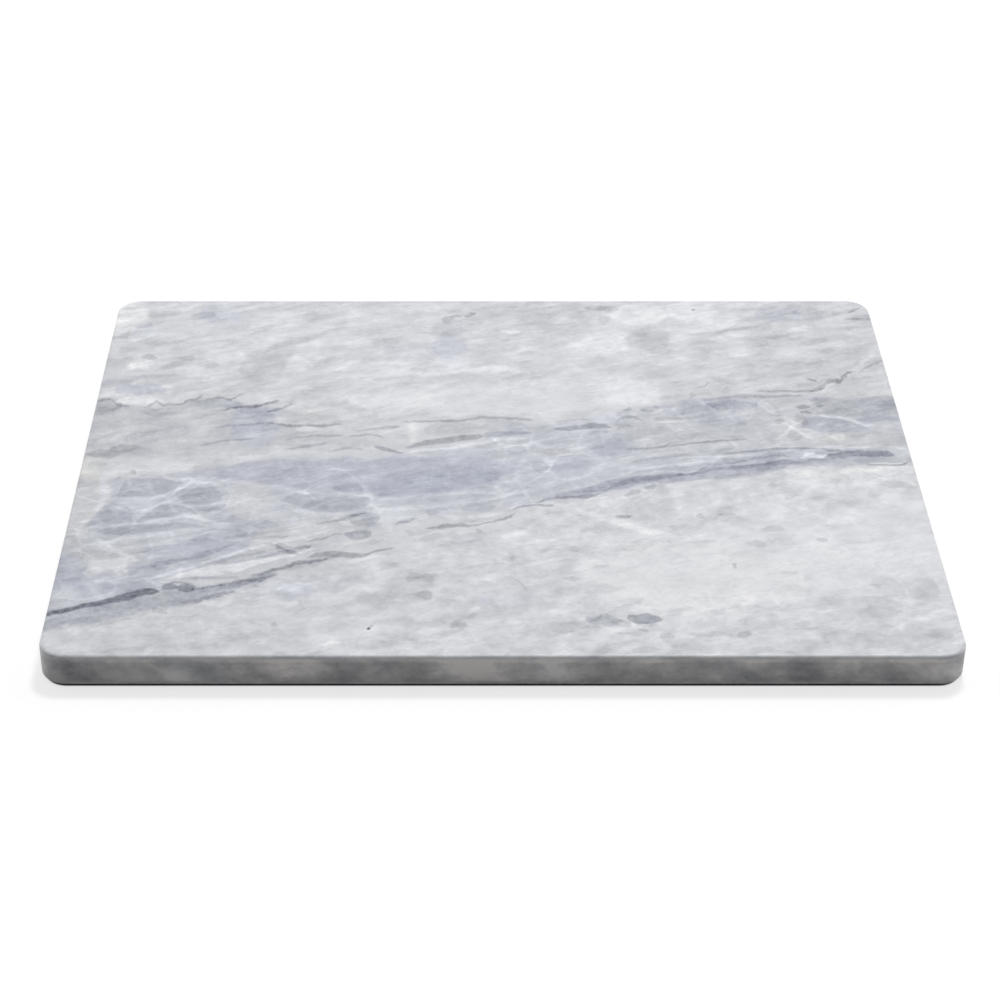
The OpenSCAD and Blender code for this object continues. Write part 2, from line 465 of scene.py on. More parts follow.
# Pale threads of calcite that healed the cracked stone.
vein([(-207, -17), (-199, -23.5, 1.7), (-186, -24, 1.9), (-176, -21.5, 1.7), (-166, -24, 1.6),
      (-154, -27, 1.4), (-147, -29, 1.2), (-134, -31.5, 1.7), (-119, -37.5, 2.2), (-110, -40, 1.4),
      (-98, -41, 1.6), (-81, -42.5, 1.6), (-64, -45.5, 1.2), (-50, -44)], 3, 0.061, 0.05)
vein([(-197, -45), (-194, -36, 1.9), (-187, -29, 1.9), (-178, -26.5, 1.9), (-169, -29, 1.9),
      (-162, -36, 1.9), (-159, -45)], 3.3, 0.057)
vein([(-197, -46), (-194, -55, 1.9), (-187, -61.5, 1.9), (-178, -64, 1.9), (-169, -61.5, 1.9),
      (-162, -55, 1.9), (-159, -46)], 3.3, 0.057)
vein([(-108, -2), (-105, -8, 1.4), (-98, -12, 1.6), (-91, -17.5, 1.6), (-85, -25, 1.6), (-80, -33, 1.6),
      (-78, -43, 1.8), (-75, -53, 1.9), (-70, -59, 1.9), (-66, -70, 1.4), (-63, -80)],
     3.3, 0.044, steep=True)
vein([(-127, -14.5), (-118, -13, 1.2), (-108, -11.5, 1.2), (-98, -12.5, 1.2), (-90, -15)], 2, 0.035)
vein([(-120, -39), (-116, -36, 1.2), (-112, -31, 1.2), (-108, -27)], 1.5, 0.052, steep=True)
vein([(-116, -35), (-114, -39, 1.2), (-111, -44, 1.2), (-109, -48)], 1.5, 0.052, steep=True)
vein([(-128, -54), (-121, -58, 1.3), (-115, -59, 1.3), (-110, -55, 1.2), (-104, -51)], 1.8, 0.044)
vein([(-74, -55), (-66, -57, 1.8), (-57, -57.5, 1.4), (-46, -56.5, 1.8), (-36, -54, 1.9), (-24, -51, 1.8),
      (-12, -48, 1.7), (-2, -44.5, 1.7), (6, -41, 1.4), (13, -36)], 3, 0.061)
vein([(-42, -41.5), (-32, -40, 1.4), (-20, -38, 1.6), (-9, -35, 1.4), (0, -31, 1.2), (10, -26)], 2.2, 0.035)
patch(-14, -42.5, 13, 2.4, -0.05, turn=4, blue=0.1)
patch(-12, -55, 11, 5, -0.045, blue=0.1)
vein([(-230, -76), (-222, -74, 1.2), (-212, -72, 1.6), (-202, -70, 1.7), (-193, -65.5, 2.9),
      (-184, -63.5, 3.1), (-178, -66, 2.4), (-170, -71, 1.7), (-160, -73, 1.2), (-150, -72)], 3, 0.057)
vein([(-226, -89), (-212, -86.5, 1.9), (-198, -84, 2.4), (-185, -81, 2.4), (-172, -79)], 3, 0.052)
vein([(-222, -97), (-208, -96, 1.2), (-198, -93, 1.7), (-189, -88, 1.6), (-178, -85, 1.4), (-168, -82)],
     2, 0.044)
vein([(-250, -84), (-240, -87, 1.7), (-230, -92, 1.9), (-223, -99, 1.9), (-214, -107, 1.7), (-207, -112)],
     3, 0.057)
vein([(-240, -18), (-229, -16, 2.4), (-218, -14, 2.9), (-207, -12.5, 3.1), (-197, -10, 4.8),
      (-190, -9, 4.3), (-184, -6)], 4.5, 0.052)
vein([(-240, -22), (-238, -28, 1.9), (-236, -36, 4.3), (-235, -42, 3.1), (-237, -52, 1.6),
      (-241, -62, 1.2), (-244, -74)], 3.6, 0.07, steep=True)
vein([(-228, -44), (-216, -45, 1.4), (-205, -43, 1.7), (-196, -38, 1.6), (-188, -30, 1.4), (-184, -24)],
     3.3, 0.061)
vein([(-214, -70), (-211, -62, 1.7), (-205, -54, 1.9), (-199, -49, 1.7), (-191, -44)], 3, 0.057, steep=True)
vein([(-200, -48), (-192, -50, 1.3), (-185, -54, 1.4), (-179, -60, 1.6), (-174, -66)], 3, 0.057)
patch(-221, -115, 13, 7, 0.045, turn=25, blue=-0.15, firm=1.3)
patch(-150, -53, 8, 14, 0.035)
patch(-133, -64, 14, 6, 0.03, turn=-15)
patch(-245, -145, 9, 9, 0.04)

# Pale streaks and dark scraps between the cracked stone and the dark vein.
vein([(-200, -129), (-193, -125.5, 1.3), (-184, -121, 1.6), (-172, -114, 1.6), (-160, -107.5, 1.6),
      (-148, -100, 1.5), (-134, -94, 1.5), (-120, -88.5, 1), (-106, -83, 1.2), (-94, -79)], 1.4, 0.06, 0.1)
vein([(-192, -129.5), (-186, -127, 1.6), (-176, -123.5, 3.6), (-164, -120, 5), (-151, -117, 4.6),
      (-142, -113.5, 3.6), (-130, -108, 2.4), (-118, -104, 1.8), (-104, -98)], 2, 0.1, -0.3)
seam([(-168, -112.5), (-158, -109.5, 1.6), (-150, -106.5, 2), (-142, -103.5, 1.8), (-134, -101)],
     2, -0.09, -0.3)
vein([(-178, -127), (-168, -127.5, 1.5), (-156, -127.5, 1.5), (-148, -127)], 1.5, -0.06, 0.1)
patch(-158, -121.5, 4, 1.4, -0.06)
seam([(-136, -93.5), (-130, -95, 1.6), (-125, -98.5, 1.5), (-120, -102, 1.4), (-115, -104)], 1.3, -0.1)
patch(-115, -96.5, 4.6, 2.4, -0.17, turn=5, firm=2.2)
patch(-124.5, -97.5, 7, 4.4, -0.09, turn=-30, blue=0.1, firm=2)
seam([(-140, -106), (-132, -104, 1), (-124, -100, 1), (-117, -97)], 1.2, -0.06)
seam([(-114, -90), (-106, -88, 0.9), (-99, -85.5, 1.1), (-92, -84)], 1, -0.1)
patch(-83, -84.5, 8.4, 4.8, -0.13, turn=5, firm=2.6)
patch(-82, -84.5, 4, 1.8, 0.05, turn=5)
seam([(-108, -73), (-101, -71, 1.8), (-94, -69, 2), (-88, -66, 1.8), (-83, -63, 1.4), (-78, -60.5)],
     1.6, -0.12)
patch(-79, -68, 9, 8, -0.075, firm=2.2)
patch(-137, -75, 7, 3.6, -0.06)
patch(-129, -86, 7, 1.6, -0.07, turn=5)
patch(-92, -92, 16, 5, 0.035, turn=12, blue=-0.1)
patch(-104, -60, 14, 5, 0.03)
patch(-90, -72, 5, 2, 0.04)
patch(-68, -66, 5, 10, 0.045)
patch(-54, -64, 13, 6, 0.045, turn=5)
seam([(-62, -73), (-57, -71.5, 1), (-53, -69.5, 1.1), (-48, -67.5)], 1, -0.13)
patch(-39, -62, 5, 3, -0.05)
vein([(-34, -65), (-22, -67, 2.4), (-10, -64, 2.4), (0, -61, 1), (8, -56)], 2, 0.05)
patch(-39, -87, 8, 4, -0.05, blue=0.3)
patch(-17, -86, 14, 7, -0.025, blue=0.3)
vein([(-52, -87), (-45, -84, 1), (-38, -81.5, 1.2), (-30, -81)], 1.2, 0.04)
patch(-53, -83, 3, 2.4, -0.05)
patch(-12, -79.5, 2.4, 2, -0.09)

# The dark vein along the band's front edge, in the short lengths that it broke into, and the blue
# stain beside it.
vein([(-262, -171, 8), (-240, -167, 8.5), (-224, -163, 9), (-210, -158, 9), (-200, -155, 7),
      (-190, -152, 7), (-178, -148, 7), (-165, -144, 5.5), (-150, -138, 5), (-138, -132, 3), (-128, -126)],
     7, -0.14, 0.4, how="cloudy")
vein([(-254, -173), (-240, -168, 1.6), (-224, -163.5, 1.8), (-208, -159, 1.2), (-198, -157)], 2.4, 0.045)
vein([(-230, -178), (-222, -175, 1), (-213, -171, 1.2), (-205, -168)], 1.4, -0.06, 0.1)
vein([(-262, -165, 2.2), (-244, -160.6, 2), (-235, -157, 1.9), (-226, -154, 2.3), (-218, -150.5, 2.9),
      (-211, -147, 3.7), (-204, -144, 3.7), (-198, -142, 3.2), (-195, -142, 2.2), (-193.5, -142)],
     2, -0.31, 0.15)
vein([(-250, -148), (-238, -150, 1.4), (-226, -147, 1.4), (-214, -142)], 1.6, 0.05)
patch(-187.5, -137, 5.6, 3.3, -0.21, turn=12, blue=0.1, firm=1.7)
patch(-178.5, -138, 4.8, 3.6, -0.19, blue=0.1, firm=1.7)
vein([(-194, -138), (-190, -134.5, 0.8), (-185, -132.5, 0.9), (-180, -133, 0.8), (-175, -134, 1),
      (-172, -137)], 1, -0.1)
seam([(-176, -139.5), (-166, -137.5, 1.4), (-159, -135, 1.2), (-154, -132.5, 1.4), (-148, -131, 2),
      (-143, -130, 1.4), (-137, -129.5, 1.8), (-131, -126.5, 0.8), (-127, -124)], 1.3, -0.12, 0.1)
vein([(-194, -142), (-182, -140, 4), (-168, -138.5, 4), (-152, -134, 4), (-140, -130, 3), (-128, -125)],
     3, -0.07, 0.2, how="cloudy")
vein([(-144, -127), (-130, -121.5, 3), (-116, -115, 3.6), (-104, -110.5, 3), (-92, -107)],
     3, -0.06, 0.1, how="cloudy")
seam([(-182, -151.5), (-172, -150, 2.2), (-165, -147.5, 2), (-159, -145, 2.2), (-153, -142.5, 1.4),
      (-149, -141)], 1.6, -0.12, 0.1)
vein([(-150, -141), (-145, -137, 1.6), (-140, -133, 1.2), (-134, -129)], 1.5, 0.06)
seam([(-141, -125.5), (-134, -122.5, 0.9), (-129, -120.5, 1.5), (-122, -117.5, 1.5), (-119, -114.5, 2.1),
      (-113, -113, 1.9), (-105, -111, 1.1), (-97, -109)], 1.2, -0.16)
vein([(-112, -107.5), (-104, -105, 2.4), (-96, -104.5, 2.9), (-88, -105, 2.9), (-80, -105.5, 2.1),
      (-75, -103, 0.9), (-66, -99.7, 1), (-61, -98)], 1.4, -0.165, 0.1)
seam([(-44, -77.5), (-38, -77, 1.5), (-30, -75.5, 2.1), (-22, -74.5, 1.5), (-17, -74.5, 1),
      (-10, -72, 0.9), (-3, -69, 1.3), (2, -67, 1.7), (6, -64.5, 1.7), (9, -61, 0.6), (10, -58)],
     1.3, -0.16)
vein([(8, -57.5), (12, -54.7, 0.9), (18, -53.3, 1.1), (24, -53, 0.9), (30, -53, 1.2), (34, -52)],
     1.1, -0.15)
vein([(22, -49.5), (27, -47, 1.1), (33, -45, 1.5), (40, -43.5, 1.5), (47, -43, 1.1), (52, -42.3, 1.9),
      (58, -41.5, 1.1), (62, -39)], 1.2, -0.17)
vein([(26, -44), (40, -40, 2), (55, -36, 3.6), (66, -31.5, 5.2), (75, -28, 5.2), (85, -24.5, 4.4),
      (95, -23.5, 4.4), (108, -22.5, 4.2), (120, -21, 5), (132, -18, 6.4), (145, -15.5, 7.4),
      (158, -13, 7), (168, -9.5, 6.5), (176, -7, 4), (184, -5)], 2.4, -0.1, 0.35)
seam([(62, -37), (72, -30, 1.8), (82, -24.5, 2.4), (95, -21.5, 2.8), (106, -19.6, 2.2), (114, -18.4)],
     2.2, -0.085, 0.1)
seam([(108, -19), (118, -17.8, 1.9), (128, -12.5, 2.8), (138, -10.2, 3), (150, -10, 2.8), (160, -8.5, 2.2),
      (166, -7, 2.6), (172, -5.3, 3), (180, -5, 3), (188, -3.2, 2.4), (196, -1.8, 1.6), (204, -0.4, 1.1),
      (214, 0.6)], 1.8, -0.105, 0.1)
vein([(84, -15), (98, -13, 2.2), (112, -11.5, 2.4), (124, -8, 2.6), (136, -5, 3), (148, -2, 3.4),
      (160, 0.5, 3.6), (172, 3, 3.8), (186, 5.5, 3.6), (200, 8, 3), (214, 9.5, 2.4), (230, 10.5, 2),
      (244, 11)], 3, -0.065, 0.2, how="cloudy")
seam([(120, -14.5), (128, -8.5, 1.2), (138, -6.2, 1), (148, -3.6, 1.2), (157, -0.6, 1), (168, 1.6, 1.2),
      (178, 2.4)], 1.3, -0.09, 0.1)
seam([(199, 2), (204, 3.4, 2.4), (210, 4.2, 3.2), (218, 4.8, 3.5), (226, 5, 3.6), (236, 5.2, 3.6),
      (241, 5, 3), (244, 4.6)], 1.8, -0.19, 0.1)
patch(194.5, 3.2, 9, 1.8, 0.1, turn=4)
vein([(182, -6), (196, -5, 4.4), (214, -4.5, 5), (232, -3, 4), (262, -3, 4)], 3, -0.07, 0.1)
vein([(224, -7.8), (230, -7.4, 0.6), (238, -7.6, 0.8), (245, -7.4, 1), (249, -5, 0.9), (252, -2)],
     0.9, -0.16)
vein([(226, -5.5), (236, -5.4, 0.8), (244, -5.4, 0.8), (247, -4.5)], 0.9, 0.1)
patch(91, -31.5, 3, 2.4, -0.12)
patch(97, -33, 4, 3.6, -0.06, turn=40, blue=-0.2)
patch(80, -38, 5, 2, -0.09, turn=35)
vein([(172, -14), (180, -17, 3), (192, -18, 3.4), (206, -17, 2.4), (222, -14, 2), (240, -11, 2),
      (262, -10, 2)], 3, 0.045, -0.2)
vein([(66, -24), (78, -17, 1), (90, -12, 1.4), (104, -9, 1.4), (116, -7, 1), (128, -4)], 1.4, 0.06)
vein([(50, -46.5), (54, -45.5, 1), (60, -45, 0.8), (66, -43)], 1, 0.06)

# Dark and pale streaks in the band's middle and right.
vein([(-58, 42), (-48, 43, 1), (-30, 43.6, 1.2), (-17, 46, 1.3), (-9, 48.2, 1.5), (2, 47.6, 1.3),
      (13, 46.8, 1.4), (20, 46, 1.8), (23, 45.5)], 1.7, -0.13)
vein([(-56, 12.5), (-50, 15, 2.8), (-44, 17.8, 3.2), (-35, 20, 3.2), (-25, 22, 3.1), (-14, 24.2, 2.5),
      (-10, 25.3, 1.6), (-9, 25.5)], 2.2, -0.17)
vein([(-9.5, 26), (-7.5, 26.8, 2.4), (0, 28, 3), (9, 28.8, 2.8), (16, 29.3, 1.8), (22, 29.5)],
     1.5, -0.1, 0.35)
patch(-28, 35, 18, 8, -0.055, turn=4, blue=-0.1, firm=2.2)
patch(4, 38, 15, 8, -0.055, blue=0.25, firm=2.4)
vein([(-53, 44), (-53, 36, 2.4), (-53, 27, 3), (-52, 19, 2), (-51, 13)], 4, 0.05, -0.2, steep=True)
vein([(-57, 6), (-48, 8.5, 1.4), (-37, 10.5, 1.6), (-25, 13.5, 2), (-12, 17, 2), (0, 21.5, 2),
      (10, 22.5, 1.4), (20, 23)], 1.5, 0.085)
vein([(-4, 11), (4, 13, 1.3), (12, 15.5, 1.4), (20, 16)], 1.3, 0.06)
vein([(35, 34), (39, 34.6, 2), (46, 35.6, 2.8), (54, 36.6, 3), (62, 38, 3.2), (68, 37, 2.2), (72, 35.5)],
     1.4, -0.15, 0.1)
patch(72, 34, 3, 5, 0.06, turn=-30, blue=-0.2)
patch(66, 48, 11, 7, 0.03, blue=0.1)
vein([(34, 43.5), (42, 44.5, 1), (49, 47, 1.1), (55, 47, 1), (60, 44)], 1.2, -0.08)
patch(37, 7, 9, 4, -0.06, blue=-0.2)
patch(172, 44, 94, 32, 0, turn=8, blue=-0.22, firm=1.3)
patch(212, 15, 18, 7, 0.03, firm=1.3)
patch(-12, -38, 18, 8, 0.02, firm=1.3)
patch(104, 24, 50, 18, -0.03, turn=8, firm=1.4)
patch(26, -8, 5, 6, -0.06)
patch(22, 17, 5, 3, 0.03)
patch(70, 12, 13, 9, -0.045, blue=0.3)
patch(45, -8, 12, 9, -0.03, turn=30, blue=0.3)
vein([(8, -58), (12, -50, 1.4), (16, -42, 2), (15, -34, 1.4), (20, -26, 1.6), (28, -18, 1.4), (33, -8)],
     2, 0.045, steep=True)
seam([(74, 43), (78, 47, 1.2), (83, 49, 1.4), (89, 46.5, 1.8), (93, 43)], 1.2, -0.09)
patch(83, 58, 4, 2, -0.09, turn=30)
patch(96, 56, 4, 2.4, -0.09)
patch(101, 61, 3, 2.6, -0.06)
patch(78, 38, 6, 3, -0.07, blue=-0.2)
vein([(98, 46.5), (106, 47.5, 1.8), (114, 48.5, 1.8), (122, 50)], 1.6, -0.08, -0.3)
vein([(98, 42.5), (105, 43, 0.9), (114, 43.5, 0.7), (120, 44)], 1.1, 0.07, -0.2)
patch(113, 55, 6, 6, -0.05, blue=0.2)
vein([(131, 69.5), (137, 71, 1.4), (147, 73, 1.8), (157, 75.5, 2), (163, 75, 1.7), (176, 74, 1.5),
      (189, 75.4, 1.2), (197, 76)], 1.5, -0.1, -0.1)
vein([(166, 80), (172, 80, 1.2), (184, 80.6, 1.4), (197, 81, 1.1), (207, 82, 1.2), (211, 85, 1.6),
      (213, 90)], 1.4, -0.12, -0.1)
patch(151, 63, 17, 7, -0.09, blue=0.3, firm=2.4)
patch(147, 62, 8, 4, -0.04, blue=0.1)
patch(128, 58, 13, 14, -0.045, blue=0.3)
patch(142, 44, 16, 9, -0.03, blue=0.2)
seam([(214, 94), (218, 95, 1), (222, 93, 1.6), (225, 97, 1.8), (226, 101, 1.6), (230, 104, 1.8),
      (234, 106)], 1.8, -0.14, -0.3)
seam([(198, 79), (204, 82.5, 1.4), (209, 86, 1.8), (213, 90, 1), (216, 93)], 1.5, -0.12, -0.3)
patch(221.5, 93, 3.4, 2, -0.1, turn=25, blue=-0.2, firm=2)
patch(226, 98.5, 2.4, 3.4, -0.09, blue=-0.2, firm=2)
patch(230, 104, 3.6, 1.8, -0.1, turn=15, blue=-0.2, firm=2)
patch(216.5, 92.5, 2, 1.8, -0.1, blue=-0.2)
seam([(234, 104), (240, 110, 1.2), (247, 116, 1.6), (254, 121, 1.2), (262, 126, 1)], 1.6, -0.12, -0.2)
vein([(210, 80), (214, 85, 1.4), (222, 95, 1), (231, 106, 1.4), (236, 112, 1.8), (241, 120, 2),
      (248, 128)], 2.6, 0.07, steep=True)
vein([(202.5, 53), (208, 55, 3.6), (215, 58.5, 7.5), (224, 60.5, 10), (235, 62, 11.5), (245, 63.5, 13),
      (262, 64, 12)], 2.4, -0.055, 0.05)
vein([(188.5, 38), (194, 41, 6), (200, 40, 8), (208, 39, 9), (216, 38, 8), (224, 37, 5.5), (231, 36, 1.5),
      (234, 36)], 2, -0.075, 0.35)
vein([(203, 50), (209, 49, 1.2), (218, 48, 1.6), (225, 44.5, 2), (232, 40, 1.8), (239, 39.5)],
     1.6, 0.075, 0.2)
patch(240, 46.5, 13, 3.6, -0.055, blue=0.5)
seam([(173, 21.5), (176, 26, 1.2), (180, 31, 1.4), (183.5, 36, 1.8), (187, 41, 1.2), (191, 46)],
     1.8, 0.065, -0.2, steep=True)
seam([(180, 41.5), (183.5, 37.5, 1.4), (187, 33, 1.5), (190.5, 27.5, 1.5), (195, 21)],
     1.3, 0.06, -0.2, steep=True)
patch(184.5, 27, 5, 6, -0.06, blue=-0.4)
patch(180, 43, 6, 8, 0.03, turn=30, blue=-0.2)
patch(212, 25, 4.6, 4.6, 0.06, blue=-0.2)
patch(204, 24, 8, 3, 0.04, blue=-0.2)
patch(193.5, 61, 5, 2.2, -0.14, turn=25, blue=-0.1, firm=2)
patch(195.5, 54.5, 4, 2, -0.14, blue=-0.1, firm=2)
patch(204.5, 61, 3.4, 1.8, -0.13)
patch(203, 69, 3, 4, -0.07)
patch(177, 44, 3, 4.6, -0.09)
patch(176, 52.5, 6, 1.7, -0.06)
patch(191, 47, 3.4, 8, -0.07, turn=-10, blue=-0.2)
patch(184, 68, 12, 7, 0, blue=-0.2)
patch(172, 62, 4, 9, 0.05, turn=30)
patch(125.5, 75, 2.6, 3.6, -0.08)
seam([(127, 84), (131, 85.5, 1.2), (134, 87, 1.2), (137, 91)], 1.1, -0.1)
patch(203.6, 93.6, 4, 1.7, -0.13, blue=-0.1, firm=2)
patch(146, 95, 5, 4, -0.05)
patch(228, 22, 30, 9, -0.02, blue=-0.45)
vein([(112, 14.5), (120, 16.7, 0.8), (130, 18.6, 1.2), (140, 20.2, 1.2), (148, 21.2, 0.8), (156, 22.5)],
     1.4, -0.14)
vein([(81, -4), (87, -2, 1.2), (97, 0, 1.4), (108, 1.6, 1.2), (118, 3.4)], 1.6, -0.1, -0.1)
vein([(78, 11), (88, 11.7, 1), (98, 13, 1.2), (108, 14, 1), (116, 14.5)], 1.5, -0.11)
vein([(138, 4.5), (147, 6.3, 0.9), (158, 8, 1.1), (166, 10, 1), (180, 11, 1.2), (192, 11.2, 1),
      (204, 10, 1), (214, 8)], 1.4, -0.14)
vein([(140, 26), (146, 19, 1.4), (147, 12, 1.4), (143, 6)], 1.6, 0.055, steep=True)
patch(162, 27, 9, 4, 0.035, turn=5)
vein([(72, -2), (84, 3, 1.2), (98, 5.5, 1), (112, 6.5)], 1.5, 0.05, -0.2)
vein([(110, -1), (124, 1, 1), (140, 2, 1.2), (156, 4, 1.1), (172, 6.5)], 1.3, 0.055)
patch(224, 12, 32, 2.4, 0.05, turn=-2, blue=-0.2)

# In front of the band the stone is pale and cloudy, with a few grains and one deep pit, whose shade is
# painted as a dark dot.
patch(110, -128, 66, 38, 0.045, turn=-8, blue=-0.1)
patch(205, -70, 60, 52, 0.02, turn=-20)
patch(216, -118, 58, 38, 0.035, turn=-10, firm=1.2)
patch(92, -62, 34, 26, 0.015, firm=1.2)
patch(90, -163, 60, 18, 0.02, firm=1.2)
patch(-60, -190, 50, 14, 0.03, firm=1.2)
patch(30, 74, 90, 22, 0.025, turn=3)
vein([(30, -50), (42, -55, 2.4), (54, -62, 3), (66, -69, 3.6), (78, -76, 4), (92, -82, 3), (106, -86)],
     3, 0.05)
patch(80, -167.8, 9.4, 5.2, -0.19, blue=0.25, firm=3.4)
patch(80, -173.5, 5, 2.4, -0.07, blue=0.3)
patch(57, -169.5, 10.5, 5.6, -0.1, turn=-12, blue=0.35, firm=2.4)
patch(53, -166.8, 3.4, 2, -0.07)
patch(66, -172, 6, 3.4, -0.06, turn=-25)
patch(40, -177, 15, 6, -0.06, turn=-5)
patch(78, -178.4, 3, 1.6, -0.09)
patch(70, -182, 8, 2.4, -0.05)
patch(91, -185, 4, 4.6, -0.07)
patch(114, -182.5, 13, 2.6, -0.06)
patch(134, -183, 3, 3, -0.09)
patch(100, -193, 9, 5, -0.05)
patch(78, -197, 8, 4, -0.06)
# Painted shade: a dark dot stands for the deep pit, which the surface has no hole for.
patch(-73, -177, 1.6, 1.5, -0.45, firm=2.2)
patch(-71.6, -174, 1.2, 2.4, -0.12, turn=-20)
patch(-24, -173, 5.5, 3.2, -0.1, turn=-10)
patch(-37, -172, 7, 3, -0.04, turn=10)
patch(-20, -167, 7, 2, -0.05, turn=25)
patch(-52, -136, 14, 17, -0.035)
patch(-112, -138, 36, 13, -0.03, turn=15, blue=0.25, firm=1.3)
patch(-139, -156, 20, 12, 0.028, firm=1.2)
patch(38, -88, 17, 11, 0.03, firm=1.2)
patch(140, -89, 15, 10, 0.028, firm=1.2)
patch(90, -41, 20, 6, 0.025, turn=8, firm=1.3)
patch(-48, -128, 5, 4, -0.05)
patch(-43.5, -147, 4.4, 4, -0.07)
patch(-71, -150, 11, 7, -0.05, turn=-20, blue=0.1)
patch(43, -99, 3.6, 2, -0.06)
patch(41, -128.6, 4.4, 1.8, -0.08)
patch(58, -139, 12, 4, -0.05)
patch(6.5, -107, 3, 4, -0.06)
vein([(5, -126), (8, -130, 0.8), (11, -135, 0.9), (13, -141)], 1.4, -0.06, steep=True)
patch(-8, -153, 8, 5, -0.05, blue=0.2)
patch(6, -150, 16, 10, -0.02, blue=0.3)
patch(74.5, -64.8, 4.4, 2, -0.13, turn=15, blue=-0.2)
patch(84, -65, 9, 3, -0.04)
patch(135, -62, 5.4, 2, -0.08)
patch(119, -64.5, 4, 2.2, -0.07, turn=-20)
patch(88, -58, 16, 12, -0.035)
patch(60, -78, 13, 8, -0.02)
patch(50, -55, 12, 5, -0.03, turn=5, blue=0.1)
patch(15, -80, 7, 2.4, -0.05, turn=-25)
patch(134, -116, 2, 1.8, -0.12, firm=2)
patch(187.5, -89.5, 4, 2.6, -0.09)
patch(165, -123.6, 5, 1.8, -0.05)
patch(160, -79, 7, 3.4, -0.05)
patch(150, -94, 6, 3.4, -0.05)
patch(167, -93, 6, 3, -0.045)
patch(213, -86, 20, 6, -0.03, turn=5, blue=0.1)
patch(208, -46, 22, 12, -0.03, turn=-10)
patch(236, -29, 16, 3, -0.05, turn=-25)
patch(203, -70, 10, 4, 0.035)
patch(118, -45, 34, 10, -0.02, turn=5)
patch(237, -138, 10, 12, -0.06, turn=30, firm=2.2)
patch(218, -135, 8, 11, -0.05, turn=20)
patch(222, -148, 12, 4, 0.02, turn=-10)
patch(199, -150, 22, 12, -0.025, turn=-10)
patch(210, -164, 14, 4, -0.04)
patch(194, -187, 20, 8, -0.045, turn=-8)
patch(230, -186, 18, 12, -0.035)
patch(147, -155, 7, 5, -0.035, blue=0.1)
patch(120, -163, 5, 3, -0.05)
patch(136, -170, 8, 3, -0.035, turn=20)
patch(168, -192, 14, 5, -0.04)
patch(-190.5, -161, 6, 2.6, -0.08, turn=-35)
patch(-125, -173, 3, 2, -0.07)
patch(-120, -153, 6, 2.4, 0.05)
patch(-112, -155, 6, 1.6, -0.04, turn=-50)
patch(-118, -141, 12, 7, -0.02, blue=0.3)
patch(-207, -198, 12, 4, -0.045, turn=5)
patch(-75, -195, 9, 3.4, -0.03)
patch(-150, -188, 45, 9, -0.025, turn=5)

for row in rows_of(things):
    lay(row)

# A fine mottle over everything, and flakes with a clear edge: pale ones where the noise is above a
# bar and dark ones where it is below another.
fine_strength = 0.11
pale_bar = 0.58
dark_bar = 0.43
flake_slope = 12
seen["mottle"] = reckon("MULTIPLY", centred(noise(fine, size=6, detail=3, rough=0.62)), fine_strength)
flaky = noise(drawn_out(torn, times=2.4, turn=18), size=14, detail=4, rough=0.6)
for light, bar, slope in ((0.05, pale_bar, flake_slope), (-0.055, dark_bar, -flake_slope)):
    add_to("mottle", light, clamped(reckon("MULTIPLY", reckon("SUBTRACT", flaky, bar), slope)))
add_to("light", 1, reckon("MULTIPLY", seen["mottle"], lively))


def thread(off, half_width):
    """1 in the middle of a thread, falling to 0 where a point is the half width off it."""
    return clamped(reckon("MULTIPLY_ADD", off, -1 / half_width, 1))


# Wisps as thin as threads, which are pale in the band. The stone there was healed by a net of pale
# threads. How much of the net shows is given in tenths, from left to right.
wispy = noise(drawn_out(torn, times=4.5, turn=17), size=13, detail=3, rough=0.55)
wisps = thread(reckon("ABSOLUTE", centred(wispy)), half_width=0.025)
add_to("light", -0.03, wisps)
add_to("light", 0.075, reckon("MULTIPLY", wisps, band))
cell = 21
net = put(stone, "TexVoronoi", {"Vector": torn, "Scale": 1 / cell}, feature="DISTANCE_TO_EDGE")
threads = thread(net.outputs["Distance"], half_width=1.9 / cell)
healed = drawn(along, tens([(-262, 10), (-170, 8), (-140, 5), (-90, 4), (-70, 1), (-10, 2), (0, 9),
                            (50, 8), (90, 3), (150, 5), (262, 4)]))
threads = reckon("MULTIPLY", reckon("MULTIPLY", threads, healed), band)
add_to("light", 0.05, threads)

# The sides were ground across the beds, so they are mottled with blots that stand upright, and
# they have taken a warmer tone than the faces.
thickness = face_height - slab_low.z * MILLIMETRES
eased_edge = 2
on_side = strength_of(depth, -thickness / 2, thickness / 2 - eased_edge, eased_edge)
upright = put(stone, "Mapping", {"Vector": torn, "Scale": (1, 1, 0.5)}).outputs[0]
blots = centred(noise(upright, size=36, detail=5, rough=0.52))
add_to("light", 1.1, reckon("MULTIPLY", blots, on_side))
add_to("blue", -0.15, on_side)

# A painted highlight: the side is lighter in a band just under the eased top edge, where that edge catches
# the light.
edge_highlight_middle = -2.5
edge_highlight_reach = 1.5
painted_edge_highlight = strength_of(depth, edge_highlight_middle, edge_highlight_reach, edge_highlight_reach)
add_to("light", 0.09, painted_edge_highlight)
warmth = reckon("MULTIPLY", between(-1.3, 2.7, noise(upright, size=40)), on_side)

# Colours of the stone from dark to light, each after the level that it is for. Two casts then make
# the stone of the band bluer and the sides warmer.
tones = put(stone, "ValToRGB", {0: seen["light"]})
ramp = tones.color_ramp
stone_tones = [(90, 86, 88, 96), (130, 127, 130, 138), (160, 158, 160, 166), (185, 184, 186, 190),
               (205, 204, 205, 208), (220, 219, 220, 223), (235, 234, 234, 236),
               (250, 250, 250, 250)]
ramp.elements.remove(ramp.elements[0])
for level, *tone in stone_tones:
    stop = ramp.elements.new(level / SCREEN_WHITE)
    stop.color = shade(*tone)
ramp.elements.remove(ramp.elements[-1])
blue_tint = (0.972, 0.992, 1.085, 1)
warm_tint = (1.01, 0.98, 0.965, 1)
blued = put(stone, "Mix", {"Factor": seen["blue"], 6: tones.outputs["Color"], 7: blue_tint},
            data_type="RGBA", blend_type="MULTIPLY", clamp_factor=False).outputs[2]
